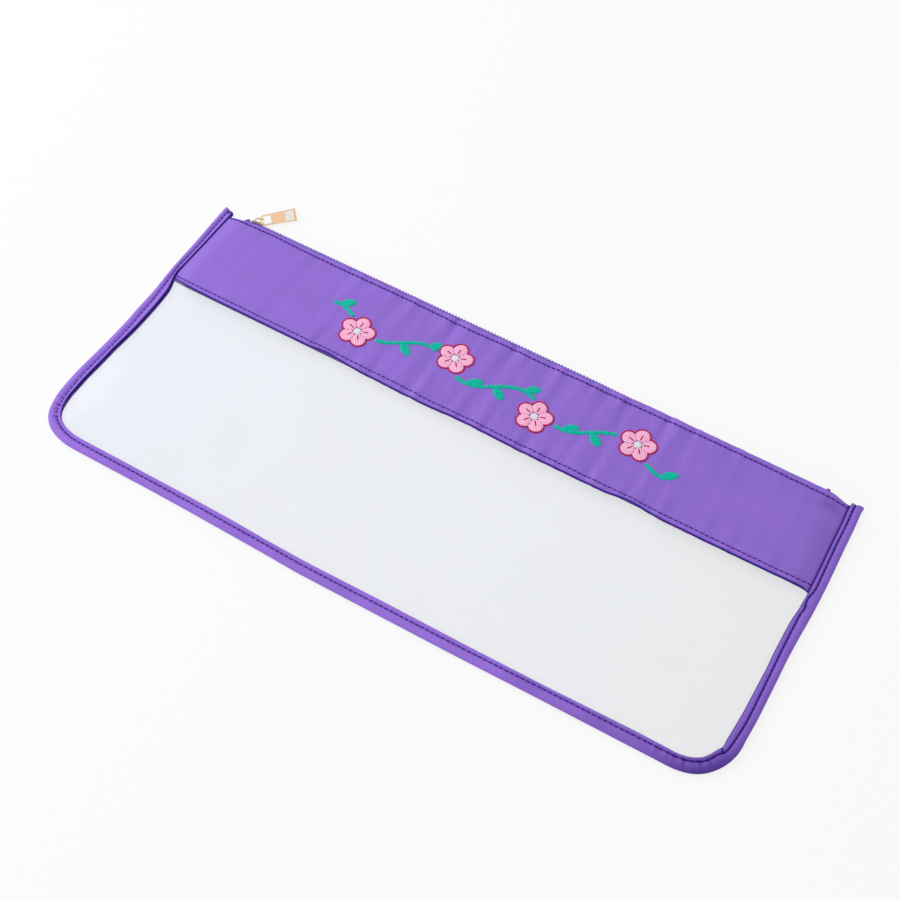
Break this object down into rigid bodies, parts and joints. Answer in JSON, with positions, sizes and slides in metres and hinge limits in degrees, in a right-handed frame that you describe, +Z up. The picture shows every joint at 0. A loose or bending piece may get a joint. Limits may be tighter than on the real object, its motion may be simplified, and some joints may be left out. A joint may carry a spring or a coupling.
{
  "type": "mahjong tile bag",
  "caption": "Flat zip pouch for mahjong tiles: clear vinyl windows, woven header bands, a folded edge binding and a coil zipper with a metal pull.",
  "frame": {"origin": "centre of the pouch's plan, on the back window's resting face", "axes": "+X along the zipper from the closed slider to the bottom stop, +Y from the bottom seam towards the zipper, +Z up out of the front panel"},
  "size_m": [0.44, 0.2191, 0.007],
  "materials": {
    "clear_vinyl": "clear, slightly blue, glossy",
    "header_nylon": "plain woven nylon, slight sheen",
    "binding_nylon": "woven binding tape",
    "zipper_tape": "woven polyester tape",
    "zipper_coil": "nylon coil",
    "zipper_stop": "moulded nylon",
    "gold_metal": "polished pale gold plating",
    "seam_thread": "twisted polyester thread",
    "embroidery_teal": "satin stitch thread",
    "embroidery_pink": "satin stitch thread",
    "embroidery_crimson": "satin stitch thread",
    "embroidery_white": "satin stitch thread"
  },
  "bodies": {
    "pouch": {"front_window": "clear_vinyl", "back_window": "clear_vinyl", "front_header_band": "header_nylon", "back_header_band": "header_nylon", "edge_binding": "binding_nylon", "front_zipper_tape": "zipper_tape", "back_zipper_tape": "zipper_tape", "front_tooth_row": "zipper_coil", "back_tooth_row": "zipper_coil", "front_top_stop": "zipper_stop", "back_top_stop": "zipper_stop", "bottom_stop": "zipper_stop", "front_top_stitching": "seam_thread", "front_hem_stitching": "seam_thread", "back_top_stitching": "seam_thread", "back_hem_stitching": "seam_thread", "binding_front_stitching": "seam_thread", "binding_back_stitching": "seam_thread", "embroidered_vine": "embroidery_teal", "embroidered_petals": "embroidery_pink", "embroidered_petal_outlines": "embroidery_crimson", "embroidered_blossom_eyes": "embroidery_white"},
    "slider": {"slider_body": "gold_metal", "slider_bail": "gold_metal"},
    "pull": {"pull_tab": "gold_metal"}
  },
  "joints": [
    {"name": "slider_slide", "type": "slide", "parent": "pouch", "child": "slider", "axis": [1, 0, 0], "range_m": [0, 0.3847], "deforming": ["front_tooth_row", "back_tooth_row"]},
    {"name": "pull_swing", "type": "hinge", "parent": "slider", "child": "pull", "pos_m": [-0.1939, 0.0996, 0.00325], "axis": [0, 0, 1], "range_deg": [-20, 108]}
  ]
}
